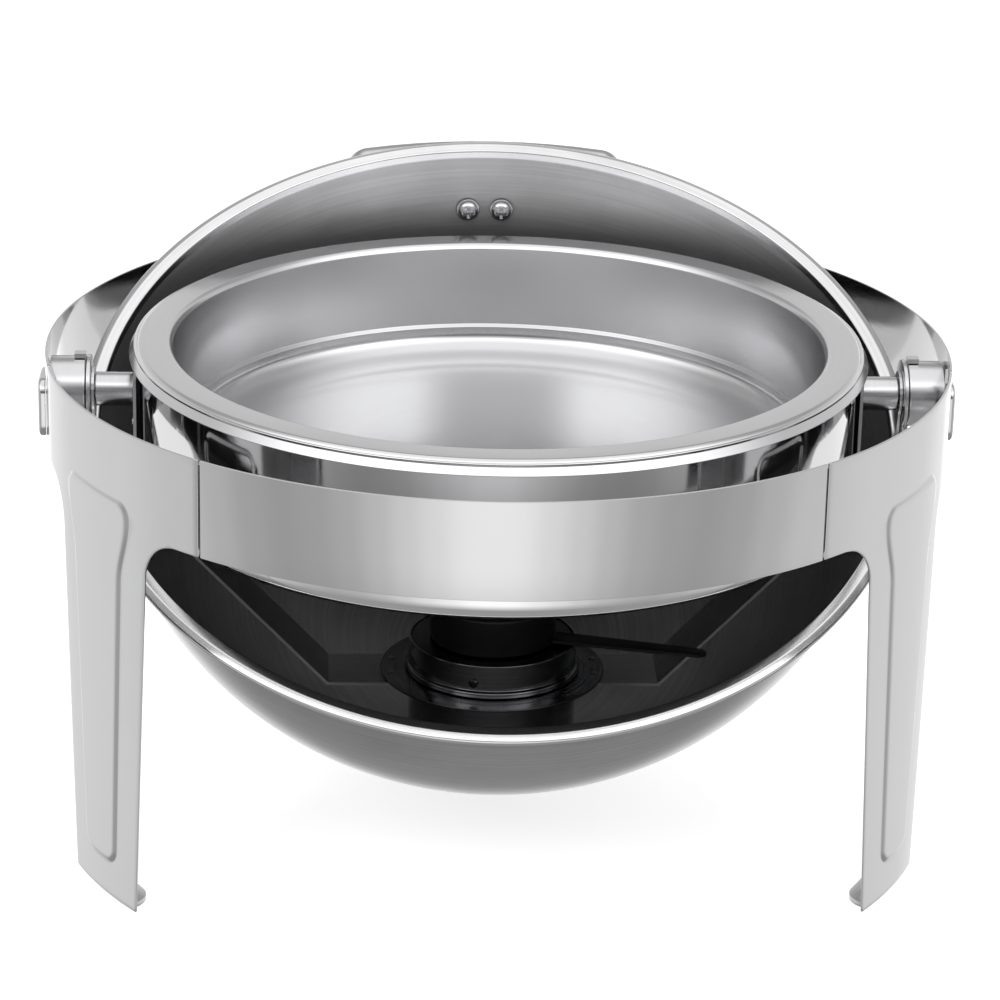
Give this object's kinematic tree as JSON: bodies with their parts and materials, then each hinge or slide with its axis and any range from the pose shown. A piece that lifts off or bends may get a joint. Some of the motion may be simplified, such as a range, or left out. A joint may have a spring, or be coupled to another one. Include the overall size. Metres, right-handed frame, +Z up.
{
  "type": "roll top chafer",
  "caption": "Round roll-top chafing dish: polished ring frame on legs, rolling dome lid shown open, lift-out food pan over a water pan, burner hung below.",
  "frame": {"origin": "on the floor plane, under the centre of the round frame", "axes": "+Z up, the front of the chafer faces -Y, +X to the right along the lid's roll axis"},
  "size_m": [0.4852, 0.4835, 0.3151],
  "materials": {
    "polished_steel": "mirror polished stainless",
    "brushed_steel": "brushed stainless",
    "satin_steel": "satin stainless",
    "dark_steel": "polished, dark from heat",
    "black_finish": "matt black",
    "can": "plain tin"
  },
  "bodies": {
    "frame": {"burner_ring": "brushed_steel", "foot_back": "polished_steel", "foot_front_left": "polished_steel", "foot_front_right": "polished_steel", "front_band": "polished_steel", "hanger_arm_left": "brushed_steel", "hanger_arm_right": "brushed_steel", "hanger_rivet_left_back": "brushed_steel", "hanger_rivet_left_front": "brushed_steel", "hanger_rivet_right_back": "brushed_steel", "hanger_rivet_right_front": "brushed_steel", "left_band": "polished_steel", "leg_back": "polished_steel", "leg_front_left": "polished_steel", "leg_front_right": "polished_steel", "pivot_axle_left": "satin_steel", "pivot_axle_right": "satin_steel", "pivot_boss_left": "satin_steel", "pivot_boss_right": "satin_steel", "pivot_disc_left": "polished_steel", "pivot_disc_right": "polished_steel", "right_band": "polished_steel", "ring_rivet_left_back": "brushed_steel", "ring_rivet_left_front": "brushed_steel", "ring_rivet_right_back": "brushed_steel", "ring_rivet_right_front": "brushed_steel", "side_cover_left": "polished_steel", "side_cover_right": "polished_steel", "spacer_sleeve_left": "brushed_steel", "spacer_sleeve_right": "brushed_steel", "splice_1a": "polished_steel", "splice_1b": "polished_steel", "splice_2a": "polished_steel", "splice_2b": "polished_steel", "splice_3a": "polished_steel", "splice_3b": "polished_steel", "stop_pin_left": "satin_steel", "stop_pin_right": "satin_steel", "water_pan": "polished_steel"},
    "lid": {"handle_grip": "satin_steel", "handle_post_left": "satin_steel", "handle_post_right": "satin_steel", "handle_screw_left": "satin_steel", "handle_screw_right": "satin_steel", "handle_washer_left": "satin_steel", "handle_washer_right": "satin_steel", "lid_lug_left": "satin_steel", "lid_lug_right": "satin_steel", "lid_shell": "brushed_steel"},
    "food_pan_body": {"food_pan": "satin_steel"},
    "cup_body": {"fuel_cup": "dark_steel", "cup_cover": "dark_steel", "cup_screw": "dark_steel", "fuel_can": "can"},
    "damper_body": {"damper_cap": "black_finish", "damper_handle": "black_finish"}
  },
  "joints": [
    {"name": "lid_roll", "type": "hinge", "parent": "frame", "child": "lid", "pos_m": [0, 0, 0.2345], "axis": [1, 0, 0], "range_deg": [0, 153]},
    {"name": "food_pan_lift", "type": "slide", "parent": "frame", "child": "food_pan_body", "axis": [0, 0, 1], "range_m": [0, 0.02]},
    {"name": "cup_lift", "type": "slide", "parent": "frame", "child": "cup_body", "axis": [0, 0, 1], "range_m": [0, 0.03]},
    {"name": "damper_swivel", "type": "hinge", "parent": "cup_body", "child": "damper_body", "pos_m": [0, 0, 0.0945], "axis": [0, 0, -1], "range_deg": [0, 135]}
  ]
}
